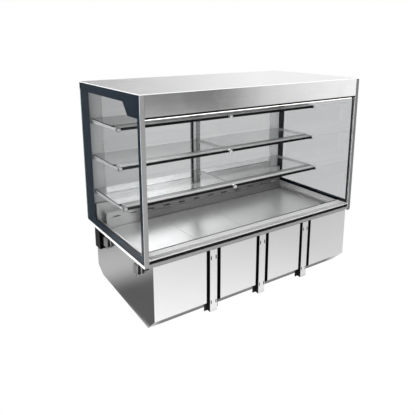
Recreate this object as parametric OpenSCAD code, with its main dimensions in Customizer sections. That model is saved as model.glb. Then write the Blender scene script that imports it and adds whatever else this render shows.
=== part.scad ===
// Drop-in hot food display case: glass superstructure over an insulated tank.
// Origin: middle of the glass box, on the plane of the worktop that the flange rests on.
// +X is the customer's right, +Y is towards the attendant, +Z is up.

/* [Glass superstructure] */
// Overall width, over the side glass
case_w = 1430; // [1410:5:1500]
// Depth of the side glass, front to back
case_d = 724; // [715:1:760]
// Height of the roof above the worktop
case_h = 811; // [780:1:900]
// Thickness of one double-glazed side
side_t = 24; // [20:1:30]
// Thickness of one glass pane
pane_t = 6; // [4:1:8]
// Height of the front fascia of the canopy
fascia_h = 98; // [80:1:110]

/* [Flange] */
// Thickness of the flange that rests on the worktop
flange_t = 15; // [12:1:18]
// How far the flange stands behind the side glass
flange_back = 7; // [2:1:12]

/* [Deck] */
// Pitch of the deck panels
deck_pitch = 326.5; // [326:0.1:328]
// Height of the deck surface, below the worktop
deck_z = -9; // [-20:1:-5]
// Height of the air grille along the front edge
grille_z = 38; // [34:1:44]
// Depth of the air grille, front to back
grille_d = 84; // [76:1:88]
// Pitch of the slots in the air grille
grille_pitch = 12; // [10:0.5:14]

/* [Shelves] */
// Height of the lower shelf rail above the worktop
lower_shelf_z = 206; // [190:1:230]
// Height of the middle shelf rail
middle_shelf_z = 405; // [380:1:430]
// Height of the upper shelf rail
upper_shelf_z = 606; // [580:1:630]
// Rail's distance behind the front plane, on the lower shelf
lower_rail_y = 267; // [240:1:290]
// Rail's distance behind the front plane, on the two upper shelves
upper_rail_y = 312; // [290:1:330]
// Thickness of the shelf glass
shelf_t = 8; // [6:1:8]

/* [Doors] */
// Width of the frame around each rear door's glass
door_stile = 30; // [20:1:36]
// How far each door reaches past the middle of the case
door_overlap = 20; // [15:1:30]

/* [Tank] */
// Width of the tank under the worktop
tank_w = 1345; // [1340:1:1350]
// Depth of the tank, front to back
tank_d = 706; // [700:1:712]
// Depth of the tank below the worktop
tank_h = 359; // [350:1:380]
// Depth of the grooves between the front panels
groove_d = 27; // [22:1:30]

/* [Hidden] */
$fn = 48;

// Outer half width, front plane and rear plane of the glass
hx = case_w / 2;
fy = -case_d / 2;
ry = case_d / 2;
// Inner face of the side glass
ix = hx - side_t;
// Sheet metal of the casings, and the gap that keeps neighbours apart
sheet = 1.5;
gap = 0.5;
eps = 0.1;

// Canopy
roof_t = 4;
roof_z = case_h - roof_t;
ceiling_z = 771;
fascia_z = roof_z - fascia_h;
duct_z = 702;
duct_foot_y = fy + 134;
duct_head_y = fy + 181;
lamp_z = 692;

// Side glass
trim_t = 3;
trim_z = 3;
border_t = 0.4;
border_rear = 114;
border_top = 49;
border_side = 35;
border_bottom = 38;
spacer_w = 8;

// Well and deck
well_hx = 653;
well_y0 = fy + grille_d;
duct_y = fy + 577;
ledge_z = 82;
ledge_y1 = fy + 620;
deck_t = 2;
deck_skirt = 16;
deck_support_z = deck_z - deck_skirt;
liner_t = 1.5;
liner_y0 = fy + 50;
liner_y1 = fy + 642;
liner_floor_front = -300;
liner_floor_rear = -262;

// Rear uprights and doors
column_w = 73;
column_y0 = fy + 645;
column_d = 16;
upright_w = 40;
bottom_track_z = 131;
track_t = 6;
door_t = 14;
door_y = [fy + 665, fy + 685];
door_z0 = bottom_track_z - track_t;
door_z1 = ceiling_z - 4;
door_glass_t = 4;

// Tank
tank_hx = tank_w / 2;
tank_y1 = fy + tank_d;
panel_chamfer_z = -289;
belly_y = fy + 71;
heel_y = fy + 640;
heel_z = -319;
tank_rear_z = -277;
seat_step = 1;
seat_x0 = tank_hx + 10;
groove_w = 88;
post_w = 44;
post_z0 = -349;
slot_w = 6;
slot_l = 22;
slot_dx = 30;
slot_z = [-44, -294];

// Fans and heater
fan_x = 326.5;
fan_y = fy + 300;
fan_z = -150;
fan_r = 84;
hub_r = 32;
shaft_r = 4;
heater_y = fy + 420;
heater_hx = 560;
heater_r = 4.25;
heater_pitch = 44;

// Shelves
arm_t = 6;
arm_h = 18;
arm_x = ix - 9;
arm_root_y = column_y0 - gap;
shelf_rear_y = fy + 636;
rail_r = 5;
strip_d = 56;
strip_t = 2;
knob_r = 8;

// Controls, on the tank's rear wall
box_x = 330;
box_w = 300;
box_z0 = -190;
box_z1 = -50;
box_d = 42;
knob_x = box_x - 80;
control_z = -120;
knob_shaft_r = 3;
switch_x = box_x + 70;
gland_l = 22;
gland_r = 5;

// A box between two limits on each axis
module slab(x, y, z) {
    translate([x[0], y[0], z[0]]) cube([x[1] - x[0], y[1] - y[0], z[1] - z[0]]);
}

// A (Y, Z) outline carried along X from x0 to x1
module along_x(x0, x1) {
    translate([x0, 0, 0]) rotate([90, 0, 90]) linear_extrude(x1 - x0) children();
}

// The same shape on both sides of the middle plane
module both_sides() {
    children();
    mirror([1, 0, 0]) children();
}

// A rod between two X positions
module rod_x(r, x0, x1, y, z) {
    translate([x0, y, z]) rotate([0, 90, 0]) cylinder(h = x1 - x0, r = r);
}

// A rod between two Y positions
module rod_y(r, y0, y1, x, z) {
    translate([x, y1, z]) rotate([90, 0, 0]) cylinder(h = y1 - y0, r = r);
}

// ---- Flange and tank ----

// The ring that rests on the worktop and carries the glass
module base_frame() {
    rear = ry + flange_back;
    color("lightgray") difference() {
        union() {
            slab([-hx, hx], [fy + trim_t, rear], [0, flange_t]);
            slab([-ix, ix], [fy, fy + trim_t], [0, flange_t + 2]);
        }
        slab([-well_hx, well_hx], [liner_y0, liner_y1], [-1, flange_t + 1]);
        // Shallow step in the underside, where the tank meets it, so that only the rim is the seat
        slab([-seat_x0, seat_x0], [fy - 1, tank_y1 + 1], [-1, seat_step]);
        // The hollow of the folded profile, open towards the well
        slab([-hx + 4, hx - 4], [fy + trim_t + 4, rear - 4], [3, flange_t - 3]);
    }
    // Raised ledges beside the well, each a step above the flange
    color("lightgray") both_sides() {
        slab([well_hx + 15, ix - gap], [well_y0 + gap, ledge_y1 - gap], [flange_t - eps, grille_z - 6]);
        slab([ix - 12, ix - gap], [well_y0 + gap, ledge_y1 - gap], [grille_z - 6 - eps, grille_z]);
    }
}

// Outline of the tank seen from its end, set in by t
module tank_outline(t) {
    k = t * 0.42;
    polygon([
        [fy + groove_d + t, seat_step],
        [fy + groove_d + t, panel_chamfer_z - groove_d + k],
        [belly_y + k, -tank_h + t],
        [heel_y - k, heel_z + t],
        [tank_y1 - t, tank_rear_z + k],
        [tank_y1 - t, seat_step]
    ]);
}

// Outline of the tub inside the tank, set out by t
module liner_outline(t) {
    polygon([
        [liner_y0 - t, 1],
        [liner_y0 - t, liner_floor_front - t],
        [liner_y1 + t, liner_floor_rear - t],
        [liner_y1 + t, 1]
    ]);
}

// Folded sheet casing of the tank, open at the top
module tank_shell() {
    color("silver") difference() {
        along_x(-tank_hx, tank_hx) tank_outline(0);
        translate([0, 0, eps]) along_x(-tank_hx + sheet, tank_hx - sheet) tank_outline(sheet);
    }
}

// Mineral wool that fills the tank around its tub
module tank_insulation() {
    wall = sheet + 3 * gap;
    color("khaki") difference() {
        along_x(-tank_hx + wall, tank_hx - wall) tank_outline(wall);
        along_x(-well_hx - 5, well_hx + 5) liner_outline(liner_t + gap);
        slab([-hx, hx], [fy, ry], [-gap, 1]);
    }
}

// Stainless tub that holds the fans and the heating element, with ledges for the deck
module tank_liner() {
    outer = well_hx + liner_t;
    ledge_z0 = deck_support_z - 3;
    ledge_z1 = deck_support_z - 2 * gap;
    color("gainsboro") difference() {
        along_x(-outer, outer) liner_outline(liner_t);
        difference() {
            along_x(-well_hx, well_hx) liner_outline(0);
            slab([-outer, outer], [liner_y0 - 1, well_y0 + 14], [ledge_z0, ledge_z1]);
            slab([-outer, outer], [liner_y1 - 12, liner_y1 + 1], [ledge_z0 - 2, ledge_z1 - 2]);
        }
        slab([-hx, hx], [fy, ry], [-gap, 2]);
        for (i = [-5.5 : 1 : 5.5]) {
            slab([i * 108 - 45, i * 108 + 45], [liner_y0 + 6, well_y0 - 6], [ledge_z0 - 1, ledge_z1 + 1]);
        }
    }
}

// Outline of a front panel seen from its end, set in by t
module panel_outline(t) {
    polygon([
        [fy + t, -gap - t],
        [fy + t, panel_chamfer_z + t],
        [fy + groove_d, panel_chamfer_z - groove_d + 2 * t + gap],
        [fy + groove_d, -gap - t]
    ]);
}

// Panel edges across the front: outer ends, then the sides of the three grooves
function post_x(i) = (i - 2) * deck_pitch;
function panel_x0(i) = i == 1 ? -tank_hx : post_x(i - 1) + groove_w / 2;
function panel_x1(i) = i == 4 ? tank_hx : post_x(i) - groove_w / 2;

// One raised front panel, a pan folded from sheet
module front_panel(i) {
    back = fy + groove_d - gap / 5;
    color("whitesmoke") difference() {
        intersection() {
            along_x(panel_x0(i), panel_x1(i)) panel_outline(0);
            slab([-hx, hx], [fy, back], [-tank_h, 0]);
        }
        translate([0, eps, 0]) along_x(panel_x0(i) + sheet, panel_x1(i) - sheet) panel_outline(sheet);
    }
}
module front_panel_1() { front_panel(1); }
module front_panel_2() { front_panel(2); }
module front_panel_3() { front_panel(3); }
module front_panel_4() { front_panel(4); }

// One hat-section post, standing in a groove with its face flush
module front_post(i) {
    wall = 2;
    foot = (groove_w - 2) / 2;
    back = fy + groove_d - gap;
    color("whitesmoke") translate([post_x(i), 0, 0]) difference() {
        union() {
            slab([-post_w / 2, post_w / 2], [fy, back], [post_z0, -gap]);
            slab([-foot, foot], [back - wall, back], [post_z0, -gap]);
        }
        slab([-post_w / 2 + wall, post_w / 2 - wall], [fy + wall, back + eps], [post_z0 - 1, 0]);
        for (z = slot_z, x = [-slot_dx / 2, slot_dx / 2]) {
            half = (slot_l - slot_w) / 2;
            slab([x - slot_w / 2, x + slot_w / 2], [fy - 1, fy + wall + 1], [z - half, z + half]);
            for (end = [-half, half]) rod_y(slot_w / 2, fy - 1, fy + wall + 1, x, z + end);
        }
    }
}
module front_post_1() { front_post(1); }
module front_post_2() { front_post(2); }
module front_post_3() { front_post(3); }

// Places its children at the four clamp positions, upright against the tank's ends
clamp_y = [fy + 147, fy + 524];
clamp_axis = 11;
module at_clamps() {
    both_sides() for (y = clamp_y) translate([-tank_hx - gap / 5, y, 0]) children();
}

// U-shaped channels that pull the flange down on the worktop
module worktop_clamps() {
    w = 44;
    d = 22;
    wall = 2;
    color("dimgray") at_clamps() difference() {
        slab([-d, 0], [-w / 2, w / 2], [-91, -40]);
        slab([-d + wall, -wall], [-w / 2 - 1, w / 2 - wall], [-91 + wall, -40 + 1]);
        translate([-clamp_axis, 0, -92]) cylinder(h = wall + 2, r = 4.2);
    }
}

// Jacking screws with a pad, one in each clamp
module clamp_screws() {
    color("gray") at_clamps() translate([-clamp_axis, 0, 0]) {
        translate([0, 0, -104]) cylinder(h = 7, r = 7, $fn = 6);
        translate([0, 0, -97 - eps]) cylinder(h = 64, r = 4);
        translate([0, 0, -36]) cylinder(h = 6, r = 9);
    }
}

// Vent ducts at the rear of the tank's ends, open towards the front, with blades across the opening
module side_vents() {
    w = 66;
    h = 134;
    d = 24;
    wall = 2;
    pitch = 12;
    color("gray") both_sides() translate([-tank_hx - gap / 5, fy + 636, -3]) {
        difference() {
            slab([-d, 0], [-w / 2, w / 2], [-h, 0]);
            slab([-d + wall, -wall], [-w / 2 - 1, w / 2 - wall], [-h + wall, -wall]);
        }
        for (i = [1 : 10]) slab([-d + wall - eps, -wall + eps], [-w / 2 + 4, -w / 2 + 12], [-i * pitch - 1, -i * pitch + 1]);
    }
}

// ---- Deck ----

// Slotted intake plate along the front, with a wall down to the deck
module front_air_grille() {
    count = floor((2 * ix - 24) / grille_pitch);
    first = -(count - 1) * grille_pitch / 2;
    x = ix - gap;
    color("lightgray") difference() {
        union() {
            slab([-x, x], [fy, well_y0], [grille_z - 2, grille_z]);
            slab([-x, x], [fy + 1, fy + 2.5], [grille_z - 6, grille_z - 1]);
            slab([-well_hx + 1, well_hx - 1], [well_y0 - 2, well_y0], [deck_z + 2, grille_z]);
        }
        for (i = [0 : count - 1]) {
            mid = first + i * grille_pitch;
            slab([mid - 3.2, mid + 3.2], [fy + 5, fy + 41], [grille_z - 3, grille_z + 1]);
        }
    }
}

// Black seal set back under the grille's edge
module front_recess_strip() {
    color("black") slab([-ix + gap, ix - gap], [fy + 10, fy + 24], [flange_t + gap, grille_z - 6 - gap]);
}

// One lift-out deck panel: a pan with its skirt down on the supports
module deck_panel(i) {
    x0 = (i - 3) * deck_pitch + gap;
    x1 = (i - 2) * deck_pitch - gap;
    y0 = well_y0 + gap;
    y1 = duct_y - 4;
    color("lightgray") difference() {
        slab([x0, x1], [y0, y1], [deck_support_z, deck_z]);
        slab([x0 + deck_t, x1 - deck_t], [y0 + deck_t, y1 - deck_t], [deck_support_z - 1, deck_z - deck_t]);
    }
}
module deck_panel_1() { deck_panel(1); }
module deck_panel_2() { deck_panel(2); }
module deck_panel_3() { deck_panel(3); }
module deck_panel_4() { deck_panel(4); }

// Slotted wall and ledge behind the deck, through which the warm air comes out
module rear_duct_panel() {
    slot_pitch = 108;
    x = well_hx - 1;
    color("darkgray") difference() {
        union() {
            slab([-x, x], [duct_y, duct_y + 1.5], [deck_support_z - 2, ledge_z]);
            slab([-x, x], [duct_y, ledge_y1 - gap], [ledge_z - 1.5, ledge_z]);
            slab([-x, x], [duct_y - 3, duct_y + eps], [deck_z + 42, deck_z + 46]);
            slab([-x, x], [duct_y - 16, liner_y1 - 1], [deck_support_z - 2, deck_support_z - gap]);
        }
        for (i = [-5.5 : 1 : 5.5]) {
            slab([i * slot_pitch - 22, i * slot_pitch + 22], [duct_y - 1, duct_y + 3], [49, 56]);
        }
        for (i = [-2.5 : 1 : 2.5]) {
            y = [duct_y + 12, liner_y1 - 20];
            slab([i * 210 - 80, i * 210 + 80], y, [deck_support_z - 3, deck_support_z + 1]);
        }
    }
}

// ---- Fans and heater, under the deck ----

// Partition that carries the fans and parts intake from outlet
module fan_plate() {
    x = well_hx - 1;
    color("silver") difference() {
        union() {
            slab([-x, x], [fan_y, fan_y + 1.5], [-270, deck_support_z - gap]);
            slab([-x, x], [fan_y, fan_y + 20], [-271.5, -270]);
        }
        for (s = [-1, 1]) rod_y(fan_r + 6, fan_y - 1, fan_y + 3, s * fan_x, fan_z);
    }
}

// Motor on a three-armed bracket that bolts to the fan plate
module fan_motor(x) {
    color("dimgray") translate([x, 0, fan_z]) {
        rod_y(hub_r, fan_y - 62, fan_y - 22, 0, 0);
        rod_y(shaft_r, fan_y - 22 - eps, fan_y + 22, 0, 0);
        for (a = [90, 210, 330]) rotate([0, a, 0]) {
            slab([hub_r - 4, fan_r + 14], [fan_y - 40, fan_y - 36], [-8, 8]);
            slab([fan_r + 10, fan_r + 14], [fan_y - 40, fan_y - gap / 5], [-8, 8]);
        }
    }
}
module left_fan_motor() { fan_motor(-fan_x); }
module right_fan_motor() { fan_motor(fan_x); }

// Five-bladed impeller, bored to run with the motor shaft
module impeller(x) {
    hub = 20;
    color("black") translate([x, 0, fan_z]) difference() {
        union() {
            rod_y(hub, fan_y - 8, fan_y + 18, 0, 0);
            for (a = [0 : 72 : 288]) rotate([0, a, 0]) translate([hub - 2, fan_y + 5, 0]) {
                rotate([32, 0, 0]) translate([0, -1, -17]) cube([fan_r - hub, 2, 34]);
            }
        }
        rod_y(shaft_r + 0.05, fan_y - 9, fan_y + 19, 0, 0);
    }
}
module left_impeller() { impeller(-fan_x); }
module right_impeller() { impeller(fan_x); }

// Tubular element bent back and forth across the air stream, on two hangers
module heating_element() {
    top = fan_z + 1.5 * heater_pitch;
    color("sienna") for (k = [0 : 3]) {
        z = top - k * heater_pitch;
        rod_x(heater_r, -heater_hx, heater_hx, heater_y, z);
        side = k % 2 == 0 ? 1 : -1;
        if (k < 3) translate([side * heater_hx, heater_y, z - heater_pitch / 2]) rotate([90, 0, 0]) {
            rotate([0, 0, side > 0 ? -90 : 90]) rotate_extrude(angle = 180) {
                translate([heater_pitch / 2, 0]) circle(r = heater_r);
            }
        }
    }
    color("silver") for (s = [-1, 1]) difference() {
        slab([s * 300 - 1, s * 300 + 1], [heater_y - 14, heater_y + 14], [-273, top + 16]);
        for (k = [0 : 3]) rod_x(heater_r - 0.2, s * 300 - 2, s * 300 + 2, heater_y, top - k * heater_pitch);
    }
}

// ---- Side glass ----

// The two panes of one double-glazed side
module side_glass() {
    for (x = [-hx, -ix - pane_t]) {
        color("lightcyan", 0.35) slab([x, x + pane_t], [fy + trim_t, ry], [flange_t, roof_z]);
    }
}
module left_side_glass() { side_glass(); }
module right_side_glass() { mirror([1, 0, 0]) side_glass(); }

// Aluminium bars that hold the panes apart
module glass_spacers() {
    y0 = fy + trim_t + 12;
    color("silver") both_sides() difference() {
        slab([-hx + pane_t + border_t, -ix - pane_t], [y0, ry - 6], [flange_t + 6, roof_z - 6]);
        z = [flange_t + 6 + spacer_w, roof_z - 6 - spacer_w];
        slab([-hx, 0], [y0 + spacer_w, ry - 6 - spacer_w], z);
    }
}

// Dark printed border on the inner face of the outer pane, which hides the canopy's end
module glass_borders() {
    color("darkslategray") both_sides() difference() {
        slab([-hx + pane_t + eps, -hx + pane_t + border_t], [fy + trim_t, ry], [flange_t, roof_z]);
        along_x(-hx, 0) polygon([
            [fy + border_side, flange_t + border_bottom],
            [ry - border_rear, flange_t + border_bottom],
            [ry - border_rear, case_h - border_top],
            [duct_head_y, case_h - border_top],
            [duct_foot_y, duct_z],
            [fy + border_side, duct_z]
        ]);
    }
}

// Steel cap on the front edge of one side, with a tongue between its panes
module front_trim() {
    color("darkgray") {
        slab([-hx, -ix], [fy, fy + trim_t - eps], [trim_z, roof_z]);
        slab([-hx + pane_t + 1, -ix - pane_t - 1], [fy + 1, fy + trim_t + 10], [flange_t + 1, roof_z - 1]);
    }
}
module left_front_trim() { front_trim(); }
module right_front_trim() { mirror([1, 0, 0]) front_trim(); }

// ---- Canopy ----

// Front face of the canopy, with its edges folded back
module canopy_fascia() {
    x = ix - gap;
    color("silver") difference() {
        slab([-x, x], [fy, fy + 18], [fascia_z, roof_z]);
        slab([-x + sheet, x - sheet], [fy + sheet, fy + 19], [fascia_z + sheet, roof_z - sheet]);
    }
}

// Top cover over the whole case, folded down behind
module canopy_roof() {
    color("whitesmoke") {
        difference() {
            slab([-hx, hx], [fy, ry], [roof_z, case_h]);
            slab([-ix + 4, ix - 4], [fy + 4, ry - 4], [roof_z - 1, case_h - sheet]);
        }
        slab([-hx, hx], [ry + eps, ry + 2], [ceiling_z, case_h]);
        slab([-hx, hx], [ry - eps, ry + eps], [roof_z, case_h]);
    }
}

// Air duct behind the fascia, with a slanted rear wall
module canopy_duct() {
    x = ix - gap;
    color("silver") difference() {
        along_x(-x, x) polygon([
            [fy + 19, duct_z],
            [duct_foot_y, duct_z],
            [duct_head_y, ceiling_z],
            [duct_head_y, roof_z - gap],
            [fy + 19, roof_z - gap]
        ]);
        along_x(-x + sheet, x - sheet) polygon([
            [fy + 19 + sheet, duct_z + sheet],
            [duct_foot_y - sheet, duct_z + sheet],
            [duct_head_y - sheet, ceiling_z],
            [duct_head_y - sheet, roof_z - gap - sheet],
            [fy + 19 + sheet, roof_z - gap - sheet]
        ]);
        slab([-x + 30, x - 30], [fy + 66, fy + 118], [duct_z - 1, duct_z + 3]);
    }
}

// Insulated ceiling pan between the duct and the rear
module canopy_ceiling() {
    x = ix - gap;
    color("gainsboro") difference() {
        slab([-x, x], [duct_head_y + gap, ry - gap], [ceiling_z, roof_z - gap]);
        slab([-x + sheet, x - sheet], [duct_head_y + 2, ry - 2], [ceiling_z + sheet, roof_z]);
    }
}

// Grid in the canopy's underside that lets the air curtain down
module air_outlet() {
    cell = 30;
    x = ix - 32;
    n = floor(2 * x / cell);
    color("dimgray") difference() {
        slab([-x, x], [fy + 67, fy + 117], [lamp_z + 2, duct_z - gap / 5]);
        for (i = [0 : n - 1], row = [0, 1]) {
            left = -n * cell / 2 + i * cell + 1;
            near = fy + 69 + row * 24;
            slab([left, left + cell - 2], [near, near + 22], [lamp_z, duct_z + 1]);
        }
    }
}

// Lamp housing and diffuser just behind the fascia's lower edge
module light_diffuser() {
    x = ix - 6;
    color("white") union() {
        slab([-x, x], [fy + 21, fy + 58], [lamp_z + 3, duct_z - gap / 5]);
        rod_x(5, -x, x, fy + 26, lamp_z + 5);
    }
}

// ---- Rear of the case ----

// Slotted column in each rear corner, which carries the shelf arms
module column() {
    z0 = bottom_track_z + gap;
    z1 = ceiling_z - gap;
    x0 = -ix + gap;
    color("lightgray") difference() {
        slab([x0, x0 + column_w], [column_y0, column_y0 + column_d], [z0, z1]);
        y = [column_y0 + sheet, column_y0 + column_d + 1];
        slab([x0 + sheet, x0 + column_w - sheet], y, [z0 - 1, z1 + 1]);
        for (z = [z0 + 20 : 25 : z1 - 20]) {
            slab([x0 + 62, x0 + 66], [column_y0 - 1, column_y0 + 3], [z, z + 14]);
        }
    }
}
module left_column() { column(); }
module right_column() { mirror([1, 0, 0]) column(); }

// Slotted upright in the middle, between deck and ceiling
module centre_upright() {
    z0 = bottom_track_z + gap;
    z1 = ceiling_z - gap;
    hw = upright_w / 2;
    color("darkgray") difference() {
        slab([-hw, hw], [column_y0, column_y0 + column_d], [z0, z1]);
        slab([-hw + sheet, hw - sheet], [column_y0 + sheet, column_y0 + column_d + 1], [z0 - 1, z1 + 1]);
        for (z = [z0 + 20 : 25 : z1 - 20], x = [-11, 7]) {
            slab([x, x + 4], [column_y0 - 1, column_y0 + 3], [z, z + 14]);
        }
    }
}

// The two grooves that the doors run in, cut upwards or downwards from z0 to z1
module door_grooves(z0, z1) {
    for (y = door_y) slab([-hx, hx], [y - gap, y + door_t + gap], [z0, z1]);
}

// Upper guide of the rear doors, under the ceiling
module rear_top_track() {
    x = ix - gap;
    color("silver") difference() {
        slab([-x, x], [column_y0 + column_d + 1, ry - 2], [ceiling_z - 22, ceiling_z - gap / 5]);
        door_grooves(ceiling_z - 23, ceiling_z - 3);
    }
}

// Sill behind the deck, with the lower guides of the doors
module rear_bottom_track() {
    x = ix - gap;
    color("silver") difference() {
        slab([-x, x], [ledge_y1, ry - 2], [flange_t, bottom_track_z]);
        slab([-x + 2, x - 2], [ledge_y1 + 2, ry - 4], [flange_t - 1, bottom_track_z - 12]);
        door_grooves(door_z0 - gap, bottom_track_z + 1);
    }
}

// Extruded frame of one door, with a finger pull in its outer stile
module door_frame(left) {
    y0 = left ? door_y[0] : door_y[1];
    x0 = left ? -ix + 1 : -door_overlap;
    x1 = left ? door_overlap : ix - 1;
    pull_x = left ? x0 + 10 : x1 - 18;
    color("silver") difference() {
        slab([x0, x1], [y0, y0 + door_t], [door_z0, door_z1]);
        z = [door_z0 + door_stile, door_z1 - door_stile];
        slab([x0 + door_stile, x1 - door_stile], [y0 - 1, y0 + door_t + 1], z);
        slab([pull_x, pull_x + 8], [y0 + 7, y0 + door_t + 1], [380, 520]);
    }
}
module left_door_frame() { door_frame(true); }
module right_door_frame() { door_frame(false); }

// Pane of one door, held in the frame's inner edge
module door_glass(left) {
    y0 = (left ? door_y[0] : door_y[1]) + (door_t - door_glass_t) / 2;
    x0 = (left ? -ix + 1 : -door_overlap) + door_stile;
    x1 = (left ? door_overlap : ix - 1) - door_stile;
    z = [door_z0 + door_stile, door_z1 - door_stile];
    color("lightcyan", 0.35) slab([x0, x1], [y0, y0 + door_glass_t], z);
}
module left_door_glass() { door_glass(true); }
module right_door_glass() { door_glass(false); }

// ---- Shelves ----

// Two panes of one shelf, resting on the arms
module shelf_glass(rail_y, rail_z) {
    edge = arm_x + arm_t / 2;
    color("lightcyan", 0.35) both_sides() {
        slab([-edge, -1], [fy + rail_y + strip_d + 4, shelf_rear_y], [rail_z + 4, rail_z + 4 + shelf_t]);
    }
}
module lower_shelf_glass() { shelf_glass(lower_rail_y, lower_shelf_z); }
module middle_shelf_glass() { shelf_glass(upper_rail_y, middle_shelf_z); }
module upper_shelf_glass() { shelf_glass(upper_rail_y, upper_shelf_z); }

// Three arms of one shelf, each tapered towards its tip and hooked into an upright
module shelf_arms(rail_y, rail_z) {
    top = rail_z + 4 - gap / 5;
    color("silver") for (x = [-arm_x, 0, arm_x]) {
        along_x(x - arm_t / 2, x + arm_t / 2) polygon([
            [fy + rail_y + 30, top],
            [fy + rail_y + knob_r + 1, top - 3],
            [fy + rail_y + knob_r + 1, top - 7],
            [arm_root_y - 30, top - arm_h],
            [arm_root_y, top - arm_h - 8],
            [arm_root_y, top]
        ]);
        rod_y(3, fy + rail_y - 6, fy + rail_y + knob_r + 2, x, rail_z);
    }
}
module lower_shelf_arms() { shelf_arms(lower_rail_y, lower_shelf_z); }
module middle_shelf_arms() { shelf_arms(upper_rail_y, middle_shelf_z); }
module upper_shelf_arms() { shelf_arms(upper_rail_y, upper_shelf_z); }

// Front tube of one shelf with its price strip, end caps and middle knob
module shelf_rail(rail_y, rail_z) {
    y = fy + rail_y;
    x = ix - 6;
    color("gray") difference() {
        union() {
            rod_x(rail_r, -x, x, y, rail_z);
            for (s = [-1, 1]) rod_x(knob_r, s * (x - 5) - 5, s * (x - 5) + 5, y, rail_z);
            rod_y(knob_r, y - 12, y, 0, rail_z);
            along_x(-x + 12, x - 12) polygon([
                [y + 3, rail_z + 3],
                [y + 3, rail_z + 3 + strip_t],
                [y + strip_d, rail_z + 4 + shelf_t],
                [y + strip_d, rail_z + 4 + shelf_t - strip_t]
            ]);
        }
        for (x = [-arm_x, 0, arm_x]) rod_y(3.1, y - 7, y + knob_r + 3, x, rail_z);
    }
}
module lower_shelf_rail() { shelf_rail(lower_rail_y, lower_shelf_z); }
module middle_shelf_rail() { shelf_rail(upper_rail_y, middle_shelf_z); }
module upper_shelf_rail() { shelf_rail(upper_rail_y, upper_shelf_z); }

// ---- Controls ----

// Box on the tank's rear wall, with the knob's shaft, the switch's seat and the supply gland
module control_box() {
    y0 = tank_y1 + gap / 5;
    color("gray") difference() {
        union() {
            slab([box_x - box_w / 2, box_x + box_w / 2], [y0, y0 + box_d], [box_z0, box_z1]);
            rod_y(knob_shaft_r, y0 + box_d - eps, y0 + box_d + 14, knob_x, control_z);
            translate([box_x, y0 + box_d / 2, box_z0 - gland_l]) cylinder(h = gland_l + eps, r = 11);
        }
        slab([box_x - box_w / 2 + 2, box_x + box_w / 2 - 2], [y0 + 2, y0 + box_d - 2], [box_z0 + 2, box_z1 - 2]);
        seat = [y0 + box_d - 12, y0 + box_d + 1];
        slab([switch_x - 11, switch_x + 11], seat, [control_z - 15, control_z + 15]);
        translate([box_x, y0 + box_d / 2, box_z0 - gland_l - 1]) cylinder(h = gland_l + 4, r = gland_r);
    }
}

// Thermostat knob with a pointer ridge, turning on its shaft
module thermostat_knob() {
    y0 = tank_y1 + gap / 5 + box_d + 1;
    color("black") difference() {
        union() {
            rod_y(20, y0, y0 + 15, knob_x, control_z);
            slab([knob_x - 2.5, knob_x + 2.5], [y0 + 14, y0 + 19], [control_z - 4, control_z + 19]);
        }
        rod_y(knob_shaft_r + 0.05, y0 - 1, y0 + 14, knob_x, control_z);
    }
}

// Rocker of the main switch, rocking about a line along X in its seat
module main_switch() {
    y = tank_y1 + gap / 5 + box_d - 2;
    color("black") translate([0, y, control_z]) rotate([-6, 0, 0]) {
        slab([switch_x - 10, switch_x + 10], [-3, 4], [-13, 13]);
    }
}

base_frame();
tank_shell();
tank_insulation();
tank_liner();
front_panel_1();
front_panel_2();
front_panel_3();
front_panel_4();
front_post_1();
front_post_2();
front_post_3();
worktop_clamps();
clamp_screws();
side_vents();
front_air_grille();
front_recess_strip();
deck_panel_1();
deck_panel_2();
deck_panel_3();
deck_panel_4();
rear_duct_panel();
fan_plate();
left_fan_motor();
right_fan_motor();
left_impeller();
right_impeller();
heating_element();
left_side_glass();
right_side_glass();
glass_spacers();
glass_borders();
left_front_trim();
right_front_trim();
canopy_fascia();
canopy_roof();
canopy_duct();
canopy_ceiling();
air_outlet();
light_diffuser();
left_column();
right_column();
centre_upright();
rear_top_track();
rear_bottom_track();
left_door_frame();
left_door_glass();
right_door_frame();
right_door_glass();
lower_shelf_glass();
middle_shelf_glass();
upper_shelf_glass();
lower_shelf_arms();
middle_shelf_arms();
upper_shelf_arms();
lower_shelf_rail();
middle_shelf_rail();
upper_shelf_rail();
control_box();
thermostat_knob();
main_switch();
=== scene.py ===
# %% [markdown]
# # Hot food display case
# A drop-in case: a glass box with a canopy and three glass shelves, on a flange, over a steel tank.
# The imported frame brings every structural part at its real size. This script gives each part its
# finish, adds the small parts that are shaped by hand, and sets up a studio round it.

# %% The frame
import math

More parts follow.
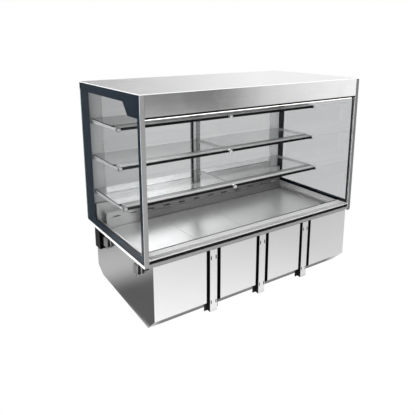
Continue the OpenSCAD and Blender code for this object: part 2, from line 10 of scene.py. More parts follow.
import bpy
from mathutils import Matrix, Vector


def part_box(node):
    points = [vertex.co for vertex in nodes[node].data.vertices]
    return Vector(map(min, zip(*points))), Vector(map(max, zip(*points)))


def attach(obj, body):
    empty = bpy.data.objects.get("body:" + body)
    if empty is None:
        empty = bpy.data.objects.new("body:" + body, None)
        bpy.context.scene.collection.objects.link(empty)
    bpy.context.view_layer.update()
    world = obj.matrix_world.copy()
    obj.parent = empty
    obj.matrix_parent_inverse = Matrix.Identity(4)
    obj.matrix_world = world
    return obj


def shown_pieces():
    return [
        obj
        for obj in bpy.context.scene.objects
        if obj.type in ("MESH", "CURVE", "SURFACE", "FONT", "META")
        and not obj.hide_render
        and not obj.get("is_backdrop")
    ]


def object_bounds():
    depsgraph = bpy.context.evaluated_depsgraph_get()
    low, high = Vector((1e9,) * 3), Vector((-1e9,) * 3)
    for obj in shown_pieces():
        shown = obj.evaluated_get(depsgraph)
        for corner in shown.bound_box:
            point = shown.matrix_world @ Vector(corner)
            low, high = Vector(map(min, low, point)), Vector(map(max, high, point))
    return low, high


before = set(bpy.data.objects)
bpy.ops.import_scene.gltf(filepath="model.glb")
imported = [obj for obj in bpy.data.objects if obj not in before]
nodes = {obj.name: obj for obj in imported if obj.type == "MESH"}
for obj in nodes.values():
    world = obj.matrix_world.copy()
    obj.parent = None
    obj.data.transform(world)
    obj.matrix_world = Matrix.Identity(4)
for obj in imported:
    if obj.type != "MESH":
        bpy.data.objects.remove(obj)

cad_low, cad_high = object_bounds()
cad_size = cad_high - cad_low
print("case", [round(side, 3) for side in cad_size], "metres,", len(nodes), "CAD nodes")

# %% [markdown]
# ## Helpers for shaders
# A material is a small tree of nodes. Written out link by link, the idea of a material drowns in
# plumbing, so three short helpers do the plumbing: `put` places a node and feeds its sockets with
# constants or with other nodes' outputs, `calc` is one step of arithmetic, and `blend_colours`
# mixes two colours by a factor.

# %% Shader helpers
def feed(tree, socket, value):
    """Sets a socket to a constant, or links another node's output to it."""
    if isinstance(value, bpy.types.NodeSocket):
        tree.links.new(value, socket)
    elif hasattr(value, "__len__") and len(value) == 3 and socket.type == "RGBA":
        socket.default_value = (*value, 1.0)
    else:
        socket.default_value = value


def put(tree, kind, inputs=None, **settings):
    """Places one node, with its settings, and feeds the inputs that are named."""
    node = tree.nodes.new("ShaderNode" + kind)
    for name, value in settings.items():
        setattr(node, name, value)
    for name, value in (inputs or {}).items():
        feed(tree, node.inputs[name], value)
    return node


def calc(tree, operation, a, b=0.0, clamp=False):
    """One step of arithmetic on two values."""
    node = put(tree, "Math", {0: a, 1: b}, operation=operation, use_clamp=clamp)
    return node.outputs["Value"]


def remap(tree, value, low, high, to_low=0.0, to_high=1.0, smooth=False):
    """Stretches low..high onto to_low..to_high, and holds the ends."""
    kind = "SMOOTHSTEP" if smooth else "LINEAR"
    sockets = {"Value": value, "From Min": low, "From Max": high, "To Min": to_low, "To Max": to_high}
    return put(tree, "MapRange", sockets, interpolation_type=kind).outputs["Result"]


def blend_colours(tree, factor, a, b):
    """Colour a where the factor is 0, colour b where it is 1."""
    node = put(tree, "Mix", data_type="RGBA")
    feed(tree, node.inputs["Factor"], factor)
    feed(tree, node.inputs[6], a)
    feed(tree, node.inputs[7], b)
    return node.outputs[2]


def place(tree):
    """The point's own place on the object, in metres."""
    return put(tree, "TexCoord").outputs["Object"]


def noise(tree, scale, detail=2.0, stretch=(1, 1, 1)):
    """Soft noise, from 0 to 1. stretch makes it finer along an axis than along the others."""
    spread = put(tree, "Mapping", {"Vector": place(tree), "Scale": stretch})
    sockets = {"Vector": spread.outputs["Vector"], "Scale": scale, "Detail": detail}
    return put(tree, "TexNoise", sockets).outputs["Fac"]


# %% [markdown]
# ## Effects that several finishes share
# Brushed grain, the slow waviness of thin sheet, and the faint marks that hands and cloths leave are
# the same effect on many parts. Each is a node group with named inputs and outputs, built once, so
# that a finish only says how much of it there is.

# %% Node groups
def new_group(title, inputs, outputs):
    """An empty node group with float inputs {name: default} and typed outputs {name: kind}."""
    group = bpy.data.node_groups.new(title, "ShaderNodeTree")
    for name, default in inputs.items():
        kind = "NodeSocketVector" if hasattr(default, "__len__") else "NodeSocketFloat"
        group.interface.new_socket(name, in_out="INPUT", socket_type=kind).default_value = default
    for name in outputs:
        group.interface.new_socket(name, in_out="OUTPUT", socket_type="NodeSocketFloat")
    return group, put_plain(group, "NodeGroupInput"), put_plain(group, "NodeGroupOutput")


def put_plain(tree, kind):
    """A node whose type has no Shader prefix."""
    return tree.nodes.new(kind)


def brushed_grain_group():
    """Fine parallel scratches. Across is the number of scratches per metre along each axis."""
    inputs = {"Across": (40.0, 40.0, 900.0), "Strength": 1.0}
    group, given, result = new_group("brushed_grain", inputs, ["Grain", "Tone", "Height"])
    at = put(group, "VectorMath", {0: place(group), 1: given.outputs["Across"]}, operation="MULTIPLY")
    fine = put(group, "TexNoise", {"Vector": at.outputs[0], "Scale": 1.0, "Detail": 3.0}).outputs["Fac"]
    wide = put(group, "TexNoise", {"Vector": at.outputs[0], "Scale": 0.17, "Detail": 2.0}).outputs["Fac"]
    both = calc(group, "ADD", calc(group, "MULTIPLY", fine, 0.65), calc(group, "MULTIPLY", wide, 0.35))
    centred = calc(group, "SUBTRACT", both, 0.5)
    swing = calc(group, "MULTIPLY", centred, given.outputs["Strength"])
    feed(group, result.inputs["Grain"], swing)
    feed(group, result.inputs["Tone"], calc(group, "ADD", 1.0, calc(group, "MULTIPLY", swing, 0.35)))
    feed(group, result.inputs["Height"], swing)
    return group


def sheet_wave_group():
    """The slow waviness that folding and spot welding leave in thin sheet."""
    group, given, result = new_group("sheet_wave", {"Waves per metre": 3.0}, ["Height"])
    sockets = {"Vector": place(group), "Scale": given.outputs["Waves per metre"], "Detail": 1.0}
    slow = put(group, "TexNoise", sockets).outputs["Fac"]
    feed(group, result.inputs["Height"], slow)
    return group


def handling_group():
    """Faint smudges where hands and cloths have been, from 0 to 1."""
    group, given, result = new_group("handling_marks", {"Marks per metre": 9.0}, ["Smudge"])
    sockets = {"Vector": place(group), "Scale": given.outputs["Marks per metre"], "Detail": 5.0}
    cloud = put(group, "TexNoise", sockets).outputs["Fac"]
    feed(group, result.inputs["Smudge"], remap(group, cloud, 0.48, 0.72))
    return group


GROUPS = {"grain": brushed_grain_group(), "wave": sheet_wave_group(), "handling": handling_group()}


def use_group(tree, title, **inputs):
    """Places one of the groups and returns its outputs by name."""
    node = put(tree, "Group", node_tree=GROUPS[title])
    for name, value in inputs.items():
        feed(tree, node.inputs[name.replace("_", " ")], value)
    return node.outputs


print("node groups:", ", ".join(GROUPS))

# %% [markdown]
# ## Starting a material
# Every finish begins with the same two nodes, a Principled shader and the output. `surface` makes
# them and returns the tree and the shader, and `bump` turns a height into a tilted normal.

# %% Starting a material
def surface(title, **constants):
    """A new material with a Principled shader, and the constants set on the shader's own sockets."""
    material = bpy.data.materials.new(title)
    material.use_nodes = True
    tree = material.node_tree
    tree.nodes.clear()
    shader = put(tree, "BsdfPrincipled")
    for name, value in constants.items():
        feed(tree, shader.inputs[name.replace("_", " ")], value)
    output = put(tree, "OutputMaterial", {"Surface": shader.outputs[0]})
    output.location = (400, 0)
    return material, tree, shader


def bump(tree, shader, height, depth, strength=1.0):
    """Tilts the shader's normal by a height that spans depth metres."""
    sockets = {"Height": height, "Distance": depth, "Strength": strength}
    feed(tree, shader.inputs["Normal"], put(tree, "Bump", sockets).outputs["Normal"])


# %% [markdown]
# ## Stainless steel
# Almost everything here is stainless sheet with a fine ground finish. The grain runs along the
# length of each sheet, so one function takes the direction, the tone and the gloss, and each part
# of the case gets its own values. A perfectly even metal would look like plastic film: the grain
# moves the roughness a little, and the slow wave of thin sheet bends the reflections. Real steel is
# all metal. Some sheets get a `metal` below 1, which mixes in plain grey: that isn't how steel
# works, but it holds a sheet's tone steady where its reflection would swing too far.

# %% Steel
PALE_FROM_X, PALE_FULL_X = -0.44, -0.52   # where a sheet with a paler left end starts and ends to change


def steel(title, tone, roughness, across, grain=1.0, waves=3.0, wave_depth=0.0006, metal=1.0,
          left_tone=None):
    """Brushed sheet. across is the scratches per metre on each axis: low along the grain.
    left_tone is for a sheet whose left end, next to the glass, is given a paler tone."""
    material, tree, shader = surface(title, Metallic=metal)
    scratch = use_group(tree, "grain", Across=across, Strength=grain)
    smudge = use_group(tree, "handling")["Smudge"]
    level = tone
    if left_tone is not None:
        x = put(tree, "SeparateXYZ", {"Vector": place(tree)}).outputs["X"]
        level = remap(tree, x, PALE_FROM_X, PALE_FULL_X, tone, left_tone, smooth=True)
    even = put(tree, "CombineXYZ", {"X": level, "Y": level, "Z": level}).outputs[0]
    shade = put(tree, "VectorMath", {0: even, 1: scratch["Tone"]}, operation="MULTIPLY")
    feed(tree, shader.inputs["Base Color"], shade.outputs[0])
    rough = calc(tree, "ADD", roughness, calc(tree, "MULTIPLY", scratch["Grain"], 0.12))
    rough = calc(tree, "ADD", rough, calc(tree, "MULTIPLY", smudge, 0.05))
    feed(tree, shader.inputs["Roughness"], rough)
    slow = use_group(tree, "wave", Waves_per_metre=waves)["Height"]
    height = calc(tree, "ADD", slow, calc(tree, "MULTIPLY", scratch["Height"], 0.004))
    bump(tree, shader, height, wave_depth)
    return material


ALONG_X = (6.0, 700.0, 700.0)
ALONG_Z = (700.0, 700.0, 6.0)
ALONG_Y = (700.0, 6.0, 700.0)
finishes = {
    "roof": steel("ground_roof", 0.81, 0.11, ALONG_X, grain=0.4),
    "canopy": steel("ground_canopy", 0.72, 0.15, ALONG_X, grain=0.4),
    "duct": steel("ground_duct", 0.26, 0.30, ALONG_X, grain=0.7, metal=0.65, left_tone=0.97),
    "frame": steel("ground_frame", 0.92, 0.30, ALONG_X, grain=0.5, metal=0.6),
    "grille": steel("satin_grille", 0.97, 0.40, ALONG_X, grain=0.4, metal=0.25),
    "trim": steel("satin_trim", 0.30, 0.45, ALONG_Z, grain=0.5, metal=0.4),
    "right trim": steel("dark_satin_trim", 0.165, 0.45, ALONG_Z, grain=0.5, metal=0.4),
    "deck": steel("polished_deck", 0.99, 0.30, ALONG_Y, grain=0.3, wave_depth=0.0002, metal=0.6),
    "casing": steel("cold_rolled_casing", 0.80, 0.20, ALONG_Z, grain=0.25, waves=2.2, wave_depth=0.0012),
    "groove": steel("groove_wall", 0.05, 0.5, ALONG_Z, grain=0.3),
    "tub": steel("deep_tub", 0.66, 0.26, ALONG_X),
}
print("steel finishes:", ", ".join(finishes))

# %% [markdown]
# ## Aluminium, polished tube, zinc
# The uprights and door frames are anodised extrusions: matt, with drawing lines along their length.
# The shelf tubes are polished. The clamps are galvanised, which shows as a faint pattern of crystals.

# %% Other metals
def anodised(title, tone, across, metal=1.0):
    """Satin anodised aluminium extrusion, with fine drawing lines."""
    material, tree, shader = surface(title, Metallic=metal)
    scratch = use_group(tree, "grain", Across=across, Strength=0.8)
    colour = (tone * 0.985, tone, tone * 1.01)
    shade = put(tree, "VectorMath", {0: colour, 1: scratch["Tone"]}, operation="MULTIPLY")
    feed(tree, shader.inputs["Base Color"], shade.outputs[0])
    rough = calc(tree, "ADD", 0.36, calc(tree, "MULTIPLY", scratch["Grain"], 0.15))
    feed(tree, shader.inputs["Roughness"], rough)
    bump(tree, shader, scratch["Height"], 0.00004)
    return material


def polished(title, tone, roughness):
    """Polished or chromed metal, with faint fingermarks."""
    material, tree, shader = surface(title, Metallic=1.0)
    smudge = use_group(tree, "handling", Marks_per_metre=22.0)["Smudge"]
    feed(tree, shader.inputs["Base Color"], blend_colours(tree, smudge, (tone,) * 3, (tone * 0.86,) * 3))
    feed(tree, shader.inputs["Roughness"], remap(tree, smudge, 0.0, 1.0, roughness, roughness + 0.08))
    return material


def galvanised(title, tone):
    """Zinc coating: flat crystals of slightly different grey."""
    material, tree, shader = surface(title, Metallic=1.0)
    crystals = put(tree, "TexVoronoi", {"Vector": place(tree), "Scale": 130.0})
    level = put(tree, "SeparateColor", {"Color": crystals.outputs["Color"]}).outputs["Red"]
    dark, light = (tone * 0.78,) * 3, (tone,) * 3
    feed(tree, shader.inputs["Base Color"], blend_colours(tree, level, dark, light))
    feed(tree, shader.inputs["Roughness"], remap(tree, level, 0.0, 1.0, 0.32, 0.48))
    return material


finishes["aluminium"] = anodised("satin_aluminium", 0.70, ALONG_Z)
finishes["column"] = anodised("satin_column", 0.98, ALONG_Z, metal=0.2)
finishes["upright"] = anodised("dark_upright", 0.42, ALONG_Z, metal=0.5)
finishes["arm"] = anodised("satin_arm", 0.93, ALONG_Y, metal=0.25)
finishes["price strip"] = anodised("satin_strip", 0.52, ALONG_X, metal=0.6)
finishes["folded edge"] = anodised("bright_edge", 0.95, ALONG_X, metal=0.2)
finishes["track"] = anodised("satin_track", 0.66, ALONG_X)
finishes["polished"] = polished("polished_tube", 0.64, 0.14)
finishes["chrome"] = polished("chrome_plate", 0.92, 0.09)
finishes["zinc"] = galvanised("galvanised_zinc", 0.62)

# %% [markdown]
# ## Glass
# The panes are closed solids, so light bends on the way in and out. The right side pane and the
# doors are tinted. Real glass has an ior of about 1.5. The left side pane has far less, because its
# reflection would hide the case behind it: that is a choice for the picture, not a property of the
# glass. The panes cast no shadow either. Seen end on, light has come a long way through a pane, so
# its edge looks dark green, and a mask on the surface's direction gives that edge its deeper tint.

# %% Glass
def glass(title, tint, edge_tint, flat_axis, ior=1.46):
    """Float glass. flat_axis is 0, 1 or 2: the axis that the pane's big faces look along. A lower
    ior weakens the pane's reflections."""
    material, tree, shader = surface(title, IOR=ior, Transmission_Weight=1.0)
    direction = put(tree, "NewGeometry").outputs["Normal"]
    split = put(tree, "SeparateXYZ", {"Vector": direction}).outputs[flat_axis]
    flat = calc(tree, "GREATER_THAN", calc(tree, "ABSOLUTE", split), 0.7)
    feed(tree, shader.inputs["Base Color"], blend_colours(tree, flat, edge_tint, tint))
    smudge = use_group(tree, "handling", Marks_per_metre=5.0)["Smudge"]
    feed(tree, shader.inputs["Roughness"], remap(tree, smudge, 0.0, 1.0, 0.0, 0.012))
    return material


GREEN_EDGE = (0.05, 0.12, 0.11)
finishes["left side glass"] = glass("left_side_pane", (0.94, 0.945, 0.945), GREEN_EDGE, 0, ior=1.17)
finishes["right side glass"] = glass("right_side_pane", (0.77, 0.775, 0.78), GREEN_EDGE, 0)
finishes["door glass"] = glass("door_pane", (0.54, 0.545, 0.55), GREEN_EDGE, 1)
finishes["shelf glass"] = glass("shelf_pane", (0.84, 0.85, 0.845), (0.03, 0.06, 0.055), 2)
print("four kinds of glass")

# %% [markdown]
# ## Plastics, print, rubber and the rest
# Moulded parts differ from metal in one way above all: their colour is their own, and only a thin
# gloss lies over it. `moulded` takes the colour, the roughness and the depth of the texture, and a
# low `shine` keeps the blacks black. The lamp's cover gives off its own light.

# %% Plastics and prints
def moulded(title, colour, roughness, grain_scale=900.0, grain_depth=0.00008, shine=0.5):
    """Moulded plastic, or paint with a fine texture."""
    material, tree, shader = surface(title, Specular_IOR_Level=shine)
    speckle = noise(tree, grain_scale, 1.0)
    cloud = noise(tree, 14.0, 3.0)
    lighter = tuple(min(1.0, channel * 1.25 + 0.001) for channel in colour)
    feed(tree, shader.inputs["Base Color"], blend_colours(tree, cloud, colour, lighter))
    feed(tree, shader.inputs["Roughness"], remap(tree, speckle, 0.3, 0.7, roughness - 0.05, roughness + 0.05))
    bump(tree, shader, speckle, grain_depth)
    return material


def lit_diffuser(title):
    """Opal cover of the lamp, with its own light."""
    material, tree, shader = surface(title, Roughness=0.5, Emission_Strength=1.6)
    cloud = noise(tree, 5.0)
    feed(tree, shader.inputs["Base Color"], (0.9, 0.9, 0.88))
    warm, cool = (1.0, 0.96, 0.9), (1.0, 0.98, 0.95)
    feed(tree, shader.inputs["Emission Color"], blend_colours(tree, cloud, warm, cool))
    return material


finishes["print"] = moulded("printed_border", (0.004, 0.013, 0.026), 0.35, shine=0.2)
finishes["rubber"] = moulded("seal_rubber", (0.006, 0.006, 0.007), 0.6, shine=0.12)
finishes["plastic"] = moulded("black_plastic", (0.009, 0.009, 0.01), 0.42, shine=0.25)
finishes["paint"] = moulded("grey_powder_coat", (0.32, 0.33, 0.34), 0.45)
finishes["wool"] = moulded("mineral_wool", (0.52, 0.45, 0.28), 0.95, 160.0, 0.004)
finishes["sheath"] = moulded("heater_sheath", (0.16, 0.12, 0.09), 0.4)
finishes["diffuser"] = lit_diffuser("opal_diffuser")
finishes["label"] = moulded("label_band", (0.9, 0.9, 0.9), 0.3)
finishes["pilot lens"] = moulded("amber_lens", (0.75, 0.28, 0.03), 0.2)
print(len(finishes), "finishes")

# %% [markdown]
# ## Handing out the finishes
# One table says which finish each CAD node wears. A name that ends in a star takes all the nodes
# that start the same way.

# %% Finish of each CAD node
WORN_BY = {
    "roof": ["canopy_roof"],
    "canopy": ["canopy_fascia", "canopy_ceiling"],
    "duct": ["rear_duct_panel", "canopy_duct"],
    "frame": ["base_frame", "rear_bottom_track"],
    "grille": ["front_air_grille"],
    "trim": ["left_front_trim"],
    "right trim": ["right_front_trim"],
    "deck": ["deck_panel_*"],
    "casing": ["tank_shell", "front_panel_*", "front_post_*"],
    "tub": ["tank_liner", "fan_plate"],
    "aluminium": ["left_door_frame", "right_door_frame", "glass_spacers"],
    "column": ["left_column", "right_column"],
    "upright": ["centre_upright"],
    "track": ["rear_top_track"],
    "arm": ["lower_shelf_arms", "middle_shelf_arms", "upper_shelf_arms"],
    "polished": ["lower_shelf_rail", "middle_shelf_rail", "upper_shelf_rail"],
    "zinc": ["worktop_clamps", "clamp_screws", "left_fan_motor", "right_fan_motor"],
    "left side glass": ["left_side_glass"],
    "right side glass": ["right_side_glass"],
    "door glass": ["left_door_glass", "right_door_glass"],
    "shelf glass": ["lower_shelf_glass", "middle_shelf_glass", "upper_shelf_glass"],
    "print": ["glass_borders"],
    "rubber": ["front_recess_strip"],
    "plastic": ["side_vents", "thermostat_knob", "main_switch", "left_impeller", "right_impeller",
                "air_outlet"],
    "paint": ["control_box"],
    "wool": ["tank_insulation"],
    "sheath": ["heating_element"],
    "diffuser": ["light_diffuser"],
}


def wear(piece, finish):
    """Puts one finish on a piece, in place of any other."""
    piece.data.materials.clear()
    piece.data.materials.append(finishes[finish])


dressed = set()
for finish, names in WORN_BY.items():
    for name in names:
        stem = name.rstrip("*")
        for node_name in nodes:
            if node_name == name or (name.endswith("*") and node_name.startswith(stem)):
                wear(nodes[node_name], finish)
                dressed.add(node_name)
assert dressed == set(nodes), sorted(set(nodes) - dressed)
for name in nodes:
    if "glass" in name and "borders" not in name and "spacers" not in name:
        nodes[name].visible_shadow = False
print(len(dressed), "CAD nodes dressed")

# %% [markdown]
# ## Faces that differ from the rest of their part
# Some parts show two finishes. The rails are a black tube with a bright strip on top and polished
# ends. The cut edges and folds of the outer sheets catch the light, so they are brighter than the
# faces. The walls of the grooves between the tank's panels get a dark finish, which stands for the
# deep shade in them.

# %% Finishes by face
def paint_faces(piece, finish, wanted):
    """Gives one more finish to the faces that wanted(place, normal) picks."""
    piece.data.materials.append(finishes[finish])
    slot = len(piece.data.materials) - 1
    turn = piece.matrix_world.to_3x3()
    for face in piece.data.polygons:
        if wanted(piece.matrix_world @ face.center, turn @ face.normal):
            face.material_index = slot


front_y, rear_y, glass_x = -0.362, 0.362, 0.715   # the glass box in plan
groove_x = 0.66                                   # the outermost groove's walls are inside this
for name in ("lower_shelf_rail", "middle_shelf_rail", "upper_shelf_rail"):
    rail_low, rail_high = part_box(name)
    tube_y, tube_z = rail_low.y + 0.012, rail_low.z + 0.008
    paint_faces(nodes[name], "plastic", lambda at, out: abs(at.x) < 0.66)
    paint_faces(nodes[name], "polished", lambda at, out: abs(at.x) < 0.0085 and at.y < tube_y - 0.004)
    paint_faces(nodes[name], "price strip", lambda at, out: at.y > tube_y + 0.0031 and at.z > tube_z + 0.002)
paint_faces(nodes["centre_upright"], "column", lambda at, out: abs(out.x) > 0.9)
for name in nodes:
    if name.startswith("front_panel_"):
        paint_faces(nodes[name], "groove", lambda at, out: abs(out.x) > 0.9 and abs(at.x) < groove_x)
    if name.startswith("front_post_"):
        foot_y = front_y + 0.01
        paint_faces(nodes[name], "groove",
                    lambda at, out: abs(out.x) > 0.9 or (out.y < -0.9 and at.y > foot_y))
paint_faces(nodes["tank_shell"], "groove", lambda at, out: out.y < -0.9 and at.y < front_y + 0.04)
paint_faces(nodes["canopy_roof"], "folded edge", lambda at, out: abs(out.z) < 0.5 and at.y < rear_y)
paint_faces(nodes["base_frame"], "folded edge",
            lambda at, out: abs(out.x) > 0.9 and abs(at.x) > glass_x - 0.001)
paint_faces(nodes["base_frame"], "trim", lambda at, out: out.y < -0.9 and at.y < front_y + 0.004)
for name in ("left_front_trim", "right_front_trim"):
    paint_faces(nodes[name], "folded edge", lambda at, out: abs(out.x) > 0.9)
mixed = [name for name in nodes if len(nodes[name].data.materials) > 1]
print(len(mixed), "CAD nodes show more than one finish")

# %% [markdown]
# ## Rounded edges
# A folded sheet has no sharp edge. The deck panels' rims are rounded so much that the joint between
# two panels shows as a fine groove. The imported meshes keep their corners, so the rounding is a
# modifier: a weld to close the seams between faces, then a bevel of the sharp edges.

# %% Rounding the folded sheets
def round_edges(piece, width, segments=2):
    """Welds the mesh's seams and rounds its sharp edges, as modifiers."""
    weld = piece.modifiers.new("weld", "WELD")
    weld.merge_threshold = 0.00001
    bevel = piece.modifiers.new("rounding", "BEVEL")
    bevel.width = width
    bevel.segments = segments
    bevel.limit_method = "ANGLE"
    bevel.angle_limit = math.radians(50)


for name in nodes:
    if name.startswith("deck_panel_"):
        round_edges(nodes[name], 0.0028)
round_edges(nodes["left_front_trim"], 0.0009)
round_edges(nodes["right_front_trim"], 0.0009)
print("rounded", sum(1 for node in nodes.values() if node.modifiers), "CAD nodes")

# %% [markdown]
# ## Shaping small parts by hand
# The seals, collars, guards and screws aren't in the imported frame. Each starts as a box, a rod or a
# ring at its size and place, and all but the fan guards are then shaped in edit mode. The helpers
# below hold the steps that the pieces share: start, select by place or direction, shape, and finish.

# %% Modelling helpers
def start_box(name, low, high):
    """A box between two corners, with its place in the mesh."""
    bpy.ops.object.select_all(action="DESELECT")
    size, middle = Vector(high) - Vector(low), (Vector(high) + Vector(low)) / 2
    bpy.ops.mesh.primitive_cube_add(size=1.0, location=middle, scale=size)
    return named(name)


def start_rod(name, radius, depth, middle, axis, sides=20):
    """A rod along one axis, with its place in the mesh."""
    bpy.ops.object.select_all(action="DESELECT")
    turn = {"X": (0, math.pi / 2, 0), "Y": (math.pi / 2, 0, 0), "Z": (0, 0, 0)}[axis]
    sizes = {"vertices": sides, "radius": radius, "depth": depth}
    bpy.ops.mesh.primitive_cylinder_add(location=middle, rotation=turn, **sizes)
    return named(name)


def named(name):
    """Names the new piece and moves its place into the mesh."""
    piece = bpy.context.object
    piece.name = name
    bpy.ops.object.transform_apply(location=True, rotation=True, scale=True)
    return piece


def pick_faces(piece, wanted):
    """Edit mode, with only the faces selected that wanted(centre, normal) picks."""
    bpy.ops.object.mode_set(mode="EDIT")
    bpy.ops.mesh.select_mode(type="FACE")
    bpy.ops.mesh.select_all(action="DESELECT")
    bpy.ops.object.mode_set(mode="OBJECT")
    for face in piece.data.polygons:
        face.select = wanted(face.center, face.normal)
    bpy.ops.object.mode_set(mode="EDIT")


def soften(width, segments=2):
    """Rounds every sharp edge of the piece that is being edited."""
    bpy.ops.object.mode_set(mode="EDIT")
    bpy.ops.mesh.select_mode(type="EDGE")
    bpy.ops.mesh.select_all(action="DESELECT")
    bpy.ops.mesh.edges_select_sharp(sharpness=math.radians(40))
    bpy.ops.mesh.bevel(offset=width, segments=segments, affect="EDGES")
    bpy.ops.object.mode_set(mode="OBJECT")


def settle(piece, finish, body="case"):
    """Normals outward, smooth where it is round, finish on, and riding its body."""
    bpy.ops.object.mode_set(mode="EDIT")
    bpy.ops.mesh.select_all(action="SELECT")
    bpy.ops.mesh.normals_make_consistent(inside=False)
    bpy.ops.object.mode_set(mode="OBJECT")
    bpy.ops.object.shade_smooth_by_angle(angle=math.radians(35))
    wear(piece, finish)
    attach(piece, body)
    return piece


def copies(piece, steps):
    """One object of the piece repeated at each step from its own place, each with its own mesh."""
    group = [piece]
    for step in steps:
        twin = piece.copy()
        twin.data = piece.data.copy()
        bpy.context.scene.collection.objects.link(twin)
        for vertex in twin.data.vertices:
            vertex.co += Vector(step)
        group.append(twin)
    bpy.ops.object.select_all(action="DESELECT")
    for twin in group:
        twin.select_set(True)
    bpy.context.view_layer.objects.active = piece
    bpy.ops.object.join()
    return piece


def start_frame(name, low, high, width, axis=1):
    """A picture-frame shape: a slab whose big faces are inset and joined by a tunnel."""
    piece = start_box(name, low, high)
    pick_faces(piece, lambda centre, out: abs(out[axis]) > 0.9)
    bpy.ops.mesh.inset(thickness=width, depth=0.0, use_individual=True)
    bpy.ops.mesh.bridge_edge_loops()
    bpy.ops.object.mode_set(mode="OBJECT")
    return piece


# %% [markdown]
# ## Seals along the front
# A case that is washed down every day is sealed at every joint: a profile under the fascia, one
# between the flange and the lift-out grille, and a strip on the grille's rear edge, where it meets
# the deck. Under the slots lies a filter pad, which is why the slots look black.

# %% Front seals
inner_x = 0.6905
fascia_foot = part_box("canopy_fascia")[0].z
seal = start_box("fascia_seal", (-inner_x, front_y + 0.001, fascia_foot - 0.0095),
                 (inner_x, front_y + 0.014, fascia_foot))
pick_faces(seal, lambda centre, out: out.z < -0.9)
bpy.ops.mesh.inset(thickness=0.002, depth=0.0)
bpy.ops.mesh.extrude_region_move(TRANSFORM_OT_translate={"value": (0, 0, 0.003)})
soften(0.0006)
settle(seal, "rubber")

grille_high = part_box("front_air_grille")[1]
recess_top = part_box("front_recess_strip")[1].z
gasket = start_box("recess_gasket", (-inner_x, front_y + 0.0034, 0.0152),
                   (inner_x, front_y + 0.0096, recess_top))
pick_faces(gasket, lambda centre, out: out.y < -0.9)
bpy.ops.mesh.inset(thickness=0.002, depth=-0.001)
soften(0.0008)
settle(gasket, "rubber")

plate_x = 0.6895
rear_strip = start_box("grille_rear_seal", (-plate_x, grille_high.y - 0.0045, grille_high.z),
                       (plate_x, grille_high.y + 0.0001, grille_high.z + 0.0018))
soften(0.0006)
settle(rear_strip, "rubber", "front_grille")

lip = start_box("grille_lip_seal", (-plate_x, front_y + 0.0002, 0.0312), (plate_x, front_y + 0.0009, 0.0354))
soften(0.0002, 1)
settle(lip, "rubber", "front_grille")

pad = start_box("grille_filter", (-plate_x + 0.012, front_y + 0.004, grille_high.z - 0.0052),
                (plate_x - 0.012, front_y + 0.043, grille_high.z - 0.0022))
pick_faces(pad, lambda centre, out: out.z < -0.9)
bpy.ops.mesh.inset(thickness=0.004, depth=-0.001)
soften(0.0005)
settle(pad, "rubber", "front_grille")

plug = start_box("corner_plugs", (-0.7135, front_y + 0.0006, -0.006), (-0.6925, front_y + 0.02, -0.0001))
pick_faces(plug, lambda centre, out: out.z < -0.9)
bpy.ops.mesh.inset(thickness=0.003, depth=0.001)
soften(0.0012)
copies(plug, [(1.406, 0, 0)])
settle(plug, "plastic")

bead_width = 0.007
bead = start_box("glass_beads", (-inner_x, front_y + 0.086, grille_high.z),
                 (-inner_x + bead_width, 0.256, grille_high.z + 0.006))
pick_faces(bead, lambda centre, out: out.x > 0.9)
bpy.ops.transform.resize(value=(1, 1, 0.4), center_override=(-inner_x + bead_width, 0, grille_high.z))
soften(0.0012)
copies(bead, [(2 * inner_x - bead_width, 0, 0)])
settle(bead, "print")

cap_width = 0.0052
cap = start_box("lamp_end_caps", (-inner_x, front_y + 0.02, 0.6915),
                (-inner_x + cap_width, front_y + 0.059, 0.7018))
soften(0.0012)
copies(cap, [(2 * inner_x - cap_width, 0, 0)])
settle(cap, "plastic")
front_seals = (seal, gasket, rear_strip, lip, pad, plug, bead, cap)
print("front seals:", ", ".join(piece.name for piece in front_seals))

# %% [markdown]
# ## Shelf fittings
# Each shelf's front rail ends in a clamping collar, and a knob in the middle screws it to the centre
# arm. The glass doesn't touch the metal: it stops against a black strip behind the price rail.

